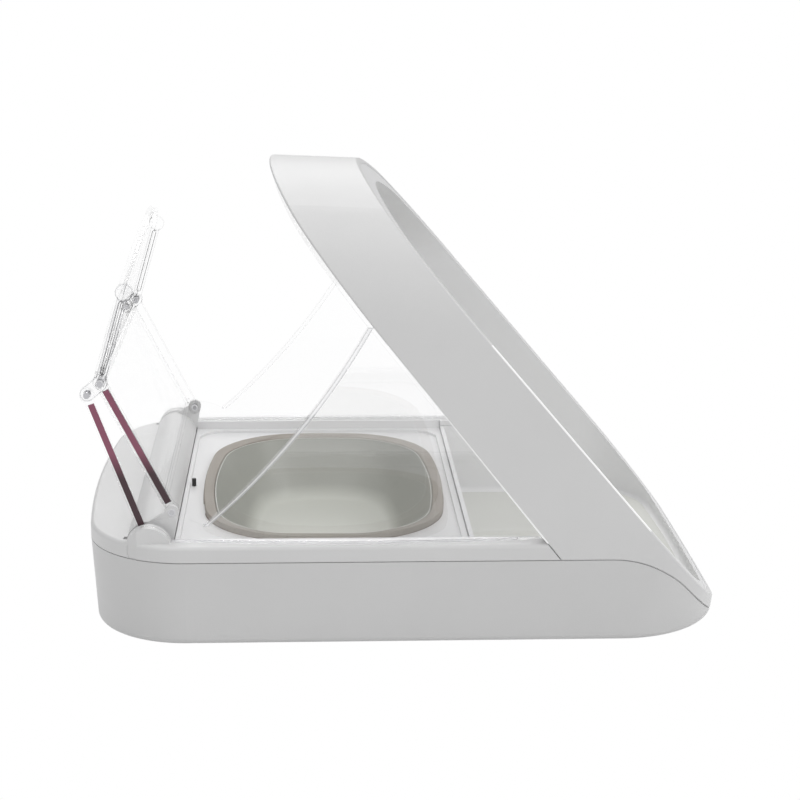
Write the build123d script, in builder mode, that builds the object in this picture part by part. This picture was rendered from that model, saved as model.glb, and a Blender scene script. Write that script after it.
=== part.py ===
from build123d import *
from math import atan2, cos, degrees, hypot, pi, radians, sin, sqrt, tan
import os

os.makedirs("parts", exist_ok=True)

# Pet feeder with a folding lid. Millimetres, +Z up, floor at z = 0. The pet eats from -Y, the lid
# folds back towards +Y, and X runs across. The origin is on the floor, half way along the body.

# ---------------------------------------------------------------- driving dimensions
body_width = 230.0
body_length = 312.0
body_height = 216.0
seam_height = 42.5         # lower shell meets the shells above it
seam_line = 0.5            # open line along the seam
seam_depth = 0.9
deck_height = 50.0         # rim and rear deck
deck_radius = 2.0          # outer edge of the deck
floor_gap = 0.8            # feet lift the lower shell this far
side_draft = 3.2           # degrees, lower shell narrows downwards
corner_radius = 48.0       # body corners in plan
end_bow = 9.0              # rear end bulges this far across the width
nose_bow = 4.0             # and the front end
nose_corner = 34.0         # front corners at the seam
nose_foot_corner = 56.0    # front corners at the floor, drawn in under the point
bottom_radius = 3.0
least_radius = 0.4         # round edges inside a wall stop here
shell_wall = 2.5
fit_gap = 0.3              # between pieces that are dropped in
foot_radius = 7.0
foot_sink = 0.8            # feet sit this deep in the lower shell
foot_side_inset = 37.0     # sides of the body to the middles of the feet
foot_end_inset = 38.0

# hood: an arch between two sloping planes
crown_radius = 244.0
shoulder_radius = 58.0
crown_fall = 2.0           # degrees, crown slopes down towards the front
opening_angle = 49.4       # front plane above the horizontal
opening_lead = 5.7         # front plane meets the floor this far ahead of the body
band_angle = 51.5          # rear plane of the hood
band_foot = 56.6           # from the front plane to the rear plane, along the floor
ring_depth = 12.0          # outer face of the hood to the inner face of its liner
liner_wall = 2.0
flange_thickness = 2.5
flange_recess = 0.5        # liner's flange sits this far inside the hood's edge
hood_edge = 0.8            # round edge of the hood along its two planes
lip_thickness = 5.0        # hood left under the opening at the front, square to the opening
seam_bend = 48.0           # radius of the seam where it turns down to the front
coil_inset = 5.0
coil_depth = 3.0
coil_width = 12.0

# well for the mat
lip_inset = 6.5            # front end of the body to the well
well_floor = 7.5
well_edge = 3.0
well_bow = 4.0
well_length = 124.0        # front end of the body to the back of the well
mat_thickness = 2.2
mat_side_margin = 9.0
mat_end_margin = 3.3
mat_edge = 0.6
mat_corner = 10.0

# rear deck, rail and tray
rail_width = 8.0
rear_deck = 40.5           # length of the deck, along the centre line
deck_plate = 2.5
tray_floor = 44.0
tray_plate = 2.2
tray_corner = 14.0
tray_ledge = 3.6           # width of the step round the tray
tray_ledge_drop = 4.6      # from the rim down to the step
ridge_width = 3.0

# bowl
bowl_side_room = 10.9      # from the bowl's rim to the step at each side of the tray
bowl_front_room = 3.7
bowl_rear_room = 7.6
bowl_rim_rise = 3.2        # rim above the tray's floor
bowl_depth = 30.0
bowl_side_bulge = 9.0
bowl_end_bulge = 8.0
bowl_side_run = 28.0       # length of the bowl's sides between its corners
bowl_rim_width = 6.0
bowl_rim_skirt = 1.8
bowl_rim_lap = 0.5         # rim stops this far from the bowl's wall
bowl_lip = 1.6
bowl_wall = 2.4
bowl_slope = 32.0          # degrees that the wall leans outwards
bowl_fillet = 7.0

# lid: side view places are (distance behind the origin, height)
drive_inset = 34.0         # rear end of the body to the drive shaft
drive_drop = 3.5           # drive shaft below the deck
hinge_lead = 10.6          # lid hinge ahead of the drive shaft
hinge_rise = 11.6          # lid hinge above the deck
rear_arm = 70.2            # lid hinge to fold
front_arm = 44.7           # fold to the end knob
rear_open = 116.9          # degrees above the forward direction
front_open = 73.8
link_offset = 7.4          # fold pin to link pin
link_offset_turn = 145.7   # degrees from the front arm to the link pin
arm_width = 4.4            # bar, square to its length in side view
lid_side_room = 11.6       # rails to the outer faces of the rear panel's rims
rear_rim = 3.5
front_rim = 2.5
link_thickness = 3.0
side_play = 0.3            # between lid pieces, across
lid_sheet = 1.6
lid_rise = 3.3             # outer face of the lid above the line through its pins
lid_rib = 2.2
front_bulge = 22.0
fold_gap = 0.8             # from the fold line to each sheet
pin_radius = 1.5
pin_play = 0.05
eye_radius = 3.4
knob_radius = 4.0
strip_width = 3.0
strip_depth = 0.8
channel_width = 2.0        # channel along the clear front arms
channel_depth = 0.6
eye_room = 8.8             # strips and channels are this much shorter than their bar

# drive
barrel_radius = 10.9
barrel_wall = 1.8
barrel_inset = 6.0         # sides of the body to the barrel's ends
barrel_end = 3.0
slot_play = 1.6
shaft_radius = 2.0
shaft_flat = 0.5
gear_module = 0.65
gear_teeth = 24
pinion_teeth = 16
tooth_tip = 0.9            # height over the pitch circle, in modules
tooth_root = 1.2           # depth below it
tooth_widths = (0.4, 0.8, 1.25)  # at the tip, pitch circle and root, of half the pitch
gear_width = 5.0
gear_x = -28.0
gear_slack = 0.2
motor_angle = 210.0        # degrees, from the drive shaft to the motor in side view
motor_radius = 5.8
motor_length = 24.0
motor_edge = 1.0
motor_foot = 9.3           # width of the block that the motor stands on
motor_shaft_radius = 1.0

# rear cover
wing_wall = 1.5
wing_top_drop = 63.4       # crown of the hood to the wing's top
wing_low_lead = 15.0       # lid hinge to the low end of the wing's free edge
wing_low_rise = 7.8
wing_sag = 5.3             # free edge hollows by this much
wing_bead = 2.4            # bead along the free edge
wing_bead_depth = 0.8
wing_foot = 1.2            # strip that bows out over the rail
wing_foot_bow = 5.0
cover_collar = 2.6

# electrics
cell_radius = 13.1
cell_length = 50.0
cell_play = 0.5
contact_room = 1.3
bay_wall = 1.4
bay_centre_x = 36.5
bay_inset = 65.2           # rear end of the body to the front of the bays
door_thickness = 2.0
door_lap = 1.2
door_corner = 6.0
door_travel = 9.0
door_tongue = 1.2
button_radius = 4.6
button_spacing = 17.0
button_drop = 5.7          # buttons below the seam
button_travel = 1.0
button_proud = 1.3
light_radius = 1.6
board_thickness = 1.6
board_width = 90.0
chip_length = 6.4
chip_width = 4.8
screw_radius = 1.6
screw_head = 1.7           # head's radius over the screw's
screw_hole = 1.8           # sunk hole for the head
screw_boss = 2.2
screw_side_inset = 23.0
screw_rear_inset = 72.0
screw_front_room = 12.0    # back of the well to the front screws
peg_radius = 1.1
peg_height = 4.0
peg_gap = 0.8              # behind the peg, to the tray's wall

# ---------------------------------------------------------------- places worked out from them
half_width = body_width / 2
half_length = body_length / 2
overrun = 20.0             # how far cutting shapes run past what they cut
opening_slope = tan(radians(opening_angle))
band_slope = tan(radians(band_angle))
opening_foot_y = -half_length - opening_lead
band_foot_y = opening_foot_y + band_foot
deck_front_y = half_length - rear_deck
rail_x = half_width - rail_width
well_x = half_width - ring_depth
well_back_y = -half_length + well_length
tray_front_y = well_back_y + liner_wall + fit_gap
tray_half = rail_x - fit_gap
drive_y = half_length - drive_inset
drive_z = deck_height - drive_drop
hinge_y = drive_y - hinge_lead
hinge_z = deck_height + hinge_rise
rear_rim_x = rail_x - lid_side_room
wing_x = rail_x - fit_gap - wing_wall
barrel_half = half_width - barrel_inset
tray_rear_y = drive_y - barrel_radius - fit_gap
bowl_width = 2 * (tray_half - tray_plate - tray_ledge - bowl_side_room)
bowl_front_y = tray_front_y + ridge_width + bowl_front_room
bowl_rear_y = tray_rear_y - tray_plate - bowl_rear_room
bowl_length = bowl_rear_y - bowl_front_y
bowl_centre_y = (bowl_rear_y + bowl_front_y) / 2
bowl_corner = (bowl_length - bowl_side_run) / 2
bowl_rim_z = tray_floor + bowl_rim_rise
bowl_flange_z = bowl_rim_z - bowl_lip
bowl_floor_z = bowl_flange_z - bowl_depth


def opening_y(height):
    """Where the front plane is at a height."""
    return opening_foot_y + height / opening_slope


def band_y(height):
    """Where the rear plane of the hood is at a height."""
    return band_foot_y + height / band_slope


def forward(length, angle):
    """Step in side view, at an angle above the forward direction."""
    return (-length * cos(radians(angle)), length * sin(radians(angle)))


def step_from(place, length, angle):
    """Place in side view, one step from another."""
    move = forward(length, angle)
    return (place[0] + move[0], place[1] + move[1])


hinge = (hinge_y, hinge_z)
fold = step_from(hinge, rear_arm, rear_open)
knob = step_from(fold, front_arm, front_open)
link_pin = step_from(fold, link_offset, front_open + link_offset_turn)
drive = (drive_y, drive_z)
link_length = hypot(link_pin[0] - drive_y, link_pin[1] - drive_z)
link_open = degrees(atan2(link_pin[1] - drive_z, drive_y - link_pin[0]))


# ---------------------------------------------------------------- shared shapes
def plan_outline(inset, front_inset=None, front_bow=nose_bow, front_corner=nose_corner):
    """Plan of the body: straight sides, bowed ends and round corners, drawn in by an inset."""
    front = inset if front_inset is None else front_inset
    side = half_width - inset
    rear = half_length - inset
    nose = -half_length + front
    with BuildSketch() as plan:
        with BuildLine():
            Line((side, nose + front_bow), (side, rear - end_bow))
            ThreePointArc((side, rear - end_bow), (0, rear), (-side, rear - end_bow))
            Line((-side, rear - end_bow), (-side, nose + front_bow))
            ThreePointArc((-side, nose + front_bow), (0, nose), (side, nose + front_bow))
        make_face()
        fillet(plan.vertices().sort_by(Axis.Y)[-2:], corner_radius - inset)
        fillet(plan.vertices().sort_by(Axis.Y)[:2], front_corner - inset)
    return plan.sketch


def arch_outline(inset):
    """Front view of the hood at the rear end of the body: upright sides, shoulders and a flat crown."""
    side = half_width - inset
    top = body_height - inset
    crown = crown_radius - inset
    shoulder = shoulder_radius - inset
    reach = side - shoulder
    drop = sqrt((crown - shoulder) ** 2 - reach ** 2)
    centre_z = top - crown
    shoulder_z = centre_z + drop
    touch = atan2(drop, reach)
    touch_x = crown * cos(touch)
    touch_z = centre_z + crown * sin(touch)
    bend = radians(degrees(touch) / 2)
    bend_x = reach + shoulder * cos(bend)
    bend_z = shoulder_z + shoulder * sin(bend)
    with BuildSketch(Plane.XZ) as front_view:
        with BuildLine():
            Line((-side, -overrun), (side, -overrun))
            Line((side, -overrun), (side, shoulder_z))
            ThreePointArc((side, shoulder_z), (bend_x, bend_z), (touch_x, touch_z))
            ThreePointArc((touch_x, touch_z), (0, top), (-touch_x, touch_z))
            ThreePointArc((-touch_x, touch_z), (-bend_x, bend_z), (-side, shoulder_z))
            Line((-side, shoulder_z), (-side, -overrun))
        make_face()
    return front_view.sketch


def arch_block(inset):
    """The arch carried along the body, falling slightly towards the front."""
    fall = tan(radians(crown_fall))
    crest_y = band_y(body_height)
    with BuildPart() as block:
        add(arch_outline(inset).moved(Location((0, crest_y, 0))))
        extrude(amount=body_length, dir=(0, -1, -fall))
    return block.part


def lower_form(inset):
    """Outside of the lower shell, drawn in by an inset: drafted sides and a round bottom edge."""
    foot = floor_gap + inset
    draft = (seam_height - foot) * tan(radians(side_draft))
    with BuildPart() as form:
        with BuildSketch(Plane.XY.offset(seam_height)):
            add(plan_outline(inset))
        with BuildSketch(Plane.XY.offset(foot)):
            add(plan_outline(inset + draft, inset, front_corner=nose_foot_corner))
        loft(ruled=True)
        fillet(form.faces().sort_by(Axis.Z)[0].edges(), max(bottom_radius - inset, least_radius))
    return form.part


def body_form(inset):
    """The whole body as one block, drawn in by an inset."""
    with BuildPart() as upper:
        with BuildSketch(Plane.XY.offset(seam_height)):
            add(plan_outline(inset))
        extrude(amount=body_height)
        add(arch_block(inset), mode=Mode.INTERSECT)
    with BuildPart() as form:
        add(lower_form(inset))
        add(upper.part)
    return form.part


def side_block(points, half=None):
    """A side view (y, z) carried across the width."""
    reach = half_width + overrun if half is None else half
    with BuildPart() as block:
        with BuildSketch(Plane.YZ.offset(-reach)):
            with BuildLine():
                Polyline(*points, close=True)
            make_face()
        extrude(amount=2 * reach)
    return block.part


def hood_slice(front_offset=0.0, rear_offset=0.0, low=-overrun):
    """Space between the two planes of the hood, each moved inwards by an offset along Y."""
    high = body_height + overrun
    return side_block([
        (opening_y(low) + front_offset, low),
        (opening_y(high) + front_offset, high),
        (band_y(high) - rear_offset, high),
        (band_y(low) - rear_offset, low),
    ])


def above_seam():
    """Everything over the seam, which turns down ahead of the hood and runs beside the opening."""
    back = half_length + overrun
    lip_y = lip_thickness / sin(radians(opening_angle))
    corner_y = opening_y(seam_height) + lip_y
    far_z = -overrun
    far_y = opening_y(far_z) + lip_y
    top = body_height + 2 * overrun
    with BuildPart() as block:
        with BuildSketch(Plane.YZ.offset(-half_width - overrun)):
            with BuildLine():
                FilletPolyline((back, seam_height), (corner_y, seam_height), (far_y, far_z),
                               radius=seam_bend)
                Polyline((far_y, far_z), (far_y - body_length, far_z), (far_y - body_length, top),
                         (back, top), (back, seam_height))
            make_face()
        extrude(amount=body_width + 2 * overrun)
    return block.part


def scoop_form(grow, back=None):
    """Space for the pet's head: the well's plan carried up under the arch, grown outwards by a wall."""
    side_inset = ring_depth - grow
    with BuildPart() as form:
        with BuildSketch(Plane.XY.offset(well_floor - grow)):
            add(plan_outline(side_inset, lip_inset - grow, well_bow, corner_radius))
            if back is not None:
                with Locations((0, back - body_length / 2)):
                    Rectangle(body_width, body_length, mode=Mode.INTERSECT)
        extrude(amount=body_height)
        fillet(form.faces().sort_by(Axis.Z)[0].edges(), well_edge + grow)
        add(arch_block(side_inset), mode=Mode.INTERSECT)
    return form.part


def bowl_outline(inset):
    """Plan of the bowl: four bulging sides and round corners, drawn in by an inset."""
    side = bowl_width / 2 - inset
    end = bowl_length / 2 - inset
    corner = bowl_corner - inset
    with BuildSketch(mode=Mode.PRIVATE) as plan:
        with BuildLine():
            corner_x = side - bowl_side_bulge
            corner_y = end - bowl_end_bulge
            ThreePointArc((corner_x, -corner_y), (side, 0), (corner_x, corner_y))
            ThreePointArc((corner_x, corner_y), (0, end), (-corner_x, corner_y))
            ThreePointArc((-corner_x, corner_y), (-side, 0), (-corner_x, -corner_y))
            ThreePointArc((-corner_x, -corner_y), (0, -end), (corner_x, -corner_y))
        make_face()
        fillet(plan.vertices(), corner)
    return plan.sketch.moved(Location((0, bowl_centre_y, 0)))


def dish_form(grow):
    """Inside of the bowl, grown outwards by a wall: a sloping side and a round bottom edge."""
    floor = bowl_floor_z - grow
    drawn_in = (bowl_flange_z - floor) * tan(radians(bowl_slope))
    with BuildPart() as form:
        with BuildSketch(Plane.XY.offset(bowl_flange_z)):
            add(bowl_outline(bowl_rim_width - grow))
        with BuildSketch(Plane.XY.offset(floor)):
            add(bowl_outline(bowl_rim_width - grow + drawn_in))
        loft(ruled=True)
        fillet(form.faces().sort_by(Axis.Z)[0].edges(), bowl_fillet + grow)
    return form.part


def gear_outline(teeth, turn):
    """Outline of a small moulded gear, with a tooth centred on the turn (degrees)."""
    pitch = gear_module * teeth / 2
    tip = pitch + tooth_tip * gear_module
    root = pitch - tooth_root * gear_module
    half_tooth = gear_module * pi / 4
    tip_half, pitch_half, root_half = [share * half_tooth for share in tooth_widths]
    sunk = root - gear_module / 2
    with BuildSketch(mode=Mode.PRIVATE) as outline:
        Circle(root)
        with PolarLocations(0, teeth, start_angle=turn):
            with BuildLine():
                Polyline((sunk, -root_half), (root, -root_half), (pitch, -pitch_half), (tip, -tip_half),
                         (tip, tip_half), (pitch, pitch_half), (root, root_half), (sunk, root_half),
                         close=True)
            make_face()
    return outline.sketch


def finish(builder, name):
    """Label a finished piece and write it."""
    builder.part.label = name
    export_step(builder.part, "parts/" + name + ".step")


# ---------------------------------------------------------------- lower shell and what stands under it
cell_pitch = 2 * cell_radius + cell_play
bay_width = 2 * cell_pitch + cell_play
bay_length = cell_length + 2 * contact_room
bay_front_y = half_length - bay_inset
bay_floor_z = floor_gap + door_thickness
bay_top_z = bay_floor_z + 2 * cell_radius + cell_play
bay_centre_y = bay_front_y + bay_length / 2
door_width = bay_width + 2 * door_lap
door_length = bay_length + 2 * door_lap
recess_top_z = floor_gap + door_thickness + fit_gap
tongue_top_z = floor_gap + door_thickness
tongue_low_z = tongue_top_z - door_thickness / 2
foot_x = half_width - foot_side_inset
foot_y = half_length - foot_end_inset
foot_places = [(-foot_x, foot_y), (foot_x, foot_y), (-foot_x, -foot_y), (foot_x, -foot_y)]
screw_x = half_width - screw_side_inset
screw_rear_y = half_length - screw_rear_inset
screw_front_y = well_back_y + screw_front_room
screw_places = [(side * screw_x, y) for y in (screw_rear_y, screw_front_y) for side in (-1, 1)]
button_height = seam_height - button_drop
button_places = [-button_spacing, 0.0, button_spacing]
light_x = 2 * button_spacing
upper_form = above_seam()

with BuildPart() as seam_groove:
    add(lower_form(0))
    add(lower_form(seam_depth), mode=Mode.SUBTRACT)
    add(upper_form.moved(Location((0, seam_line, -seam_line))), mode=Mode.INTERSECT)

with BuildPart() as base_lower_shell:
    add(lower_form(0))
    add(lower_form(shell_wall), mode=Mode.SUBTRACT)
    add(upper_form, mode=Mode.SUBTRACT)
    add(seam_groove.part, mode=Mode.SUBTRACT)
    # battery bays
    with BuildSketch(Plane.XY.offset(floor_gap)):
        with Locations((-bay_centre_x, bay_centre_y), (bay_centre_x, bay_centre_y)):
            Rectangle(bay_width + 2 * bay_wall, bay_length + 2 * bay_wall)
    extrude(amount=bay_top_z + bay_wall - floor_gap)
    # thick floor ahead of the bays, where the doors slide
    with BuildSketch(Plane.XY.offset(floor_gap)):
        with Locations(*[(side * bay_centre_x, bay_front_y - door_travel) for side in (-1, 1)]):
            Rectangle(door_width + 4 * door_tongue, 2 * (door_travel + door_lap + bay_wall))
    extrude(amount=2 * bay_wall + door_thickness)
    # bosses for the case screws
    with BuildSketch(Plane.XY.offset(floor_gap + shell_wall / 2)):
        with Locations(*screw_places):
            Circle(screw_boss * screw_radius)
    extrude(amount=tray_floor - tray_plate - fit_gap - floor_gap - shell_wall / 2)
    add(lower_form(0), mode=Mode.INTERSECT)
    with BuildSketch(Plane.XY.offset(bay_top_z)):
        with Locations((-bay_centre_x, bay_centre_y), (bay_centre_x, bay_centre_y)):
            Rectangle(bay_width, bay_length)
    extrude(amount=-bay_top_z, mode=Mode.SUBTRACT)
    # door recesses, longer than the doors by their travel, with grooves for the tongues
    recess_length = door_length + door_travel + fit_gap
    recess_y = bay_centre_y + door_length / 2 + fit_gap - recess_length / 2
    with BuildSketch(Plane.XY.offset(recess_top_z)):
        with Locations((-bay_centre_x, recess_y), (bay_centre_x, recess_y)):
            RectangleRounded(door_width + 2 * fit_gap, recess_length, door_corner + fit_gap)
    extrude(amount=-recess_top_z, mode=Mode.SUBTRACT)
    with BuildSketch(Plane.XY.offset(recess_top_z)):
        with Locations((-bay_centre_x, recess_y), (bay_centre_x, recess_y)):
            Rectangle(door_width + 2 * (door_tongue + fit_gap), recess_length - 2 * door_corner)
    extrude(amount=tongue_low_z - fit_gap - recess_top_z, mode=Mode.SUBTRACT)
    # sockets for the feet
    with BuildSketch(Plane.XY.offset(floor_gap)):
        with Locations(*foot_places):
            Circle(foot_radius)
    extrude(amount=foot_sink, mode=Mode.SUBTRACT)
    # screw holes, sunk for the heads
    with BuildSketch(Plane.XY):
        with Locations(*screw_places):
            Circle(screw_radius)
    extrude(amount=body_height, mode=Mode.SUBTRACT)
    with BuildSketch(Plane.XY):
        with Locations(*screw_places):
            Circle(screw_hole * screw_radius)
    extrude(amount=floor_gap + 2 * screw_radius, mode=Mode.SUBTRACT)
    # button and light holes in the rear wall
    with BuildSketch(Plane.XZ.offset(-half_length - overrun)):
        with Locations(*[(x, button_height) for x in button_places]):
            Circle(button_radius + fit_gap / 2)
        with Locations((light_x, button_height)):
            Circle(light_radius)
    extrude(amount=overrun + rear_deck / 4, mode=Mode.SUBTRACT)
finish(base_lower_shell, "base_lower_shell")

with BuildPart() as rubber_feet:
    with BuildSketch():
        with Locations(*foot_places):
            Circle(foot_radius)
    extrude(amount=floor_gap + foot_sink)
    chamfer(rubber_feet.faces().filter_by(Axis.Z).group_by(Axis.Z)[0].edges(), foot_sink / 2)
finish(rubber_feet, "rubber_feet")

for side, side_name in ((-1, "left"), (1, "right")):
    with BuildPart() as battery_door:
        with BuildSketch(Plane.XY):
            with Locations((side * bay_centre_x, bay_centre_y)):
                RectangleRounded(door_width, door_length, door_corner)
        extrude(amount=floor_gap + door_thickness)
        with BuildSketch(Plane.XY.offset(tongue_low_z)):
            with Locations((side * bay_centre_x, bay_centre_y)):
                Rectangle(door_width + 2 * door_tongue, door_length - 2 * door_corner)
        extrude(amount=tongue_top_z - tongue_low_z)
        add(lower_form(0), mode=Mode.INTERSECT)
        # thumb grip: three shallow grooves
        with BuildSketch(Plane.XY.offset(floor_gap)):
            with Locations((side * bay_centre_x, bay_centre_y - door_length / 3)):
                with GridLocations(0, 4 * foot_sink, 1, 3):
                    SlotOverall(bay_width / 3, 2 * foot_sink)
        extrude(amount=foot_sink / 2, mode=Mode.SUBTRACT)
    finish(battery_door, "battery_door_" + side_name)

cell_z = bay_floor_z + cell_play / 2 + cell_radius
cell_places = [side * bay_centre_x + end * cell_pitch / 2 for side in (-1, 1) for end in (-1, 1)]
cell_rear_y = bay_centre_y + cell_length / 2
with BuildPart() as battery_cells:
    with BuildSketch(Plane.XZ.offset(-cell_rear_y)):
        with Locations(*[(x, cell_z) for x in cell_places]):
            Circle(cell_radius)
    extrude(amount=cell_length - contact_room)
    fillet(battery_cells.edges().filter_by(GeomType.CIRCLE), contact_room / 2)
    with BuildSketch(Plane.XZ.offset(-cell_rear_y)):
        with Locations(*[(x, cell_z) for x in cell_places]):
            Circle(cell_radius / 4)
    extrude(amount=cell_length)
finish(battery_cells, "battery_cells")

with BuildPart() as battery_contacts:
    for face_y, step in ((bay_front_y, 1), (bay_front_y + bay_length, -1)):
        with BuildSketch(Plane.XZ.offset(-face_y)):
            with Locations(*[(x, cell_z) for x in cell_places]):
                Rectangle(cell_radius, cell_radius)
                Circle(cell_radius / 3, mode=Mode.SUBTRACT)
        extrude(amount=-step * contact_room / 4)
finish(battery_contacts, "battery_contacts")

# ---------------------------------------------------------------- hood
body_block = body_form(0)
hood_space = hood_slice()
flange_step = flange_thickness / sin(radians(opening_angle))
recess_step = flange_recess / sin(radians(opening_angle))
band_step = liner_wall / sin(radians(band_angle))

with BuildPart() as hood_outer:
    add(body_block)
    add(body_form(shell_wall), mode=Mode.SUBTRACT)
    add(hood_space, mode=Mode.INTERSECT)
    add(upper_form, mode=Mode.INTERSECT)
with BuildPart() as band_ring:
    add(body_block)
    add(arch_block(ring_depth), mode=Mode.SUBTRACT)
    add(side_block([
        (band_y(0) - band_step, 0),
        (band_y(0), 0),
        (band_y(body_height + overrun), body_height + overrun),
        (band_y(body_height + overrun) - band_step, body_height + overrun),
    ]), mode=Mode.INTERSECT)
    add(upper_form, mode=Mode.INTERSECT)
    # room for the sides of the well
    with BuildSketch(Plane.XY):
        Rectangle(2 * (well_x + liner_wall + fit_gap), body_length)
    extrude(amount=deck_height - deck_plate, mode=Mode.SUBTRACT)
opening_out = (0, -sin(radians(opening_angle)), cos(radians(opening_angle)))
band_out = (0, sin(radians(band_angle)), -cos(radians(band_angle)))
with BuildPart() as hood_shell:
    add(hood_outer.part)
    add(band_ring.part)
    # round edges along both planes
    for out in (opening_out, band_out):
        flat = hood_shell.faces().filter_by(Plane(origin=(0, 0, 0), z_dir=out))
        fillet(flat.sort_by(Axis((0, 0, 0), out))[-1].outer_wire().edges(), hood_edge)
finish(hood_shell, "hood_outer")

with BuildPart() as hood_liner:
    # arch under the hood
    add(scoop_form(liner_wall))
    add(hood_slice(recess_step, band_step + fit_gap), mode=Mode.INTERSECT)
with BuildPart() as well_wall:
    add(scoop_form(liner_wall, well_back_y + liner_wall))
    add(side_block([
        (opening_y(-overrun) + recess_step, -overrun),
        (opening_y(deck_height) + recess_step, deck_height),
        (opening_y(deck_height) + recess_step, deck_height - deck_plate - fit_gap),
        (half_length, deck_height - deck_plate - fit_gap),
        (half_length, -overrun),
    ]), mode=Mode.INTERSECT)
with BuildPart() as front_flange:
    add(body_form(shell_wall + fit_gap))
    add(side_block([
        (opening_y(-overrun) + recess_step, -overrun),
        (opening_y(-overrun) + recess_step + flange_step, -overrun),
        (opening_y(body_height) + recess_step + flange_step, body_height),
        (opening_y(body_height) + recess_step, body_height),
    ]), mode=Mode.INTERSECT)
with BuildPart() as liner_cavity:
    add(scoop_form(0))
    add(hood_slice(-overrun, -overrun), mode=Mode.INTERSECT)
with BuildPart() as liner_shell:
    add(hood_liner.part)
    add(front_flange.part)
    add(well_wall.part)
    add(liner_cavity.part, mode=Mode.SUBTRACT)
    add(scoop_form(0, well_back_y), mode=Mode.SUBTRACT)
    add(body_form(shell_wall + fit_gap), mode=Mode.INTERSECT)
finish(liner_shell, "hood_liner")

with BuildPart() as antenna_coil:
    add(body_form(coil_inset))
    add(body_form(coil_inset + coil_depth), mode=Mode.SUBTRACT)
    coil_front = recess_step + flange_step + coil_inset
    coil_back = coil_front + coil_width / sin(radians(opening_angle))
    add(side_block([
        (opening_y(seam_height) + coil_front, seam_height),
        (opening_y(seam_height) + coil_back, seam_height),
        (opening_y(body_height) + coil_back, body_height),
        (opening_y(body_height) + coil_front, body_height),
    ]), mode=Mode.INTERSECT)
finish(antenna_coil, "antenna_coil")

with BuildPart() as mat:
    mat_plan_side = ring_depth + mat_side_margin
    with BuildSketch(Plane.XY.offset(well_floor)):
        add(plan_outline(mat_plan_side, lip_inset + mat_end_margin, well_bow, corner_radius))
        with Locations((0, well_back_y - well_edge - body_length / 2)):
            Rectangle(body_width, body_length, mode=Mode.INTERSECT)
    extrude(amount=mat_thickness)
    fillet(mat.edges().filter_by(Axis.Z).sort_by(Axis.Y)[-2:], mat_corner)
    chamfer(mat.faces().sort_by(Axis.Z)[-1].edges(), mat_edge)
finish(mat, "mat")

# ---------------------------------------------------------------- upper shell, tray and bowl
slot_inner = rear_rim_x + side_play + front_rim
slot_outer = slot_inner + side_play + link_thickness + side_play
link_x = slot_inner + side_play
outline_top = deck_height - seam_height

with BuildPart() as rim_block:
    with BuildSketch(Plane.XY.offset(seam_height)):
        add(plan_outline(0))
    extrude(amount=outline_top)
    fillet(rim_block.faces().sort_by(Axis.Z)[-1].edges(), deck_radius)
    with BuildSketch(Plane.XY.offset(seam_height)):
        add(plan_outline(shell_wall))
    extrude(amount=outline_top - deck_plate, mode=Mode.SUBTRACT)
    # opening for the tray, then the one over the well
    with BuildSketch(Plane.XY.offset(seam_height)):
        with Locations((0, (deck_front_y + tray_front_y - fit_gap) / 2)):
            Rectangle(2 * rail_x, deck_front_y - tray_front_y + fit_gap)
        with Locations((0, tray_front_y - body_length / 2)):
            Rectangle(2 * well_x, body_length)
    extrude(amount=outline_top, mode=Mode.SUBTRACT)
    add(hood_slice(-body_length, -fit_gap), mode=Mode.SUBTRACT)
with BuildPart() as barrel:
    with BuildSketch(Plane.YZ.offset(-barrel_half)):
        with Locations((drive_y, drive_z)):
            Circle(barrel_radius)
    extrude(amount=2 * barrel_half)
    with BuildSketch(Plane.YZ.offset(-barrel_half + barrel_end)):
        with Locations((drive_y, drive_z)):
            Circle(barrel_radius - barrel_wall)
    extrude(amount=2 * (barrel_half - barrel_end), mode=Mode.SUBTRACT)
    # the lower rear quarter stays open for the motor
    with BuildSketch(Plane.YZ.offset(-barrel_half + barrel_end)):
        with Locations((drive_y + barrel_radius, drive_z - barrel_radius + 1)):
            Rectangle(2 * barrel_radius, 2 * barrel_radius)
    extrude(amount=2 * (barrel_half - barrel_end), mode=Mode.SUBTRACT)
    # walls that carry the shaft, beside the link slots
    with BuildSketch(Plane.YZ.offset(-slot_inner)):
        with Locations((drive_y, drive_z)):
            Circle(barrel_radius)
    extrude(amount=front_rim)
    with BuildSketch(Plane.YZ.offset(slot_inner)):
        with Locations((drive_y, drive_z)):
            Circle(barrel_radius)
    extrude(amount=-front_rim)
    # lugs for the lid hinge
    for start in (-slot_inner, slot_inner - front_rim):
        with BuildSketch(Plane.YZ.offset(start)):
            with BuildLine():
                Polyline((hinge_y - eye_radius, hinge_z), (drive_y - barrel_radius, drive_z),
                         (drive_y, drive_z + barrel_radius), (hinge_y + eye_radius, hinge_z), close=True)
            make_face()
            with Locations((hinge_y, hinge_z)):
                Circle(eye_radius)
        extrude(amount=front_rim)
    with BuildSketch(Plane.YZ.offset(-slot_inner)):
        with Locations((hinge_y, hinge_z)):
            Circle(pin_radius)
        with Locations((drive_y, drive_z)):
            Circle(shaft_radius + pin_play)
    extrude(amount=2 * slot_inner, mode=Mode.SUBTRACT)

with BuildPart() as barrel_room:
    with BuildSketch(Plane.XY):
        add(plan_outline(shell_wall + 2 * fit_gap))
    extrude(amount=seam_height)
    with BuildSketch(Plane.XY.offset(seam_height)):
        add(plan_outline(fit_gap))
    extrude(amount=body_height)

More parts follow.
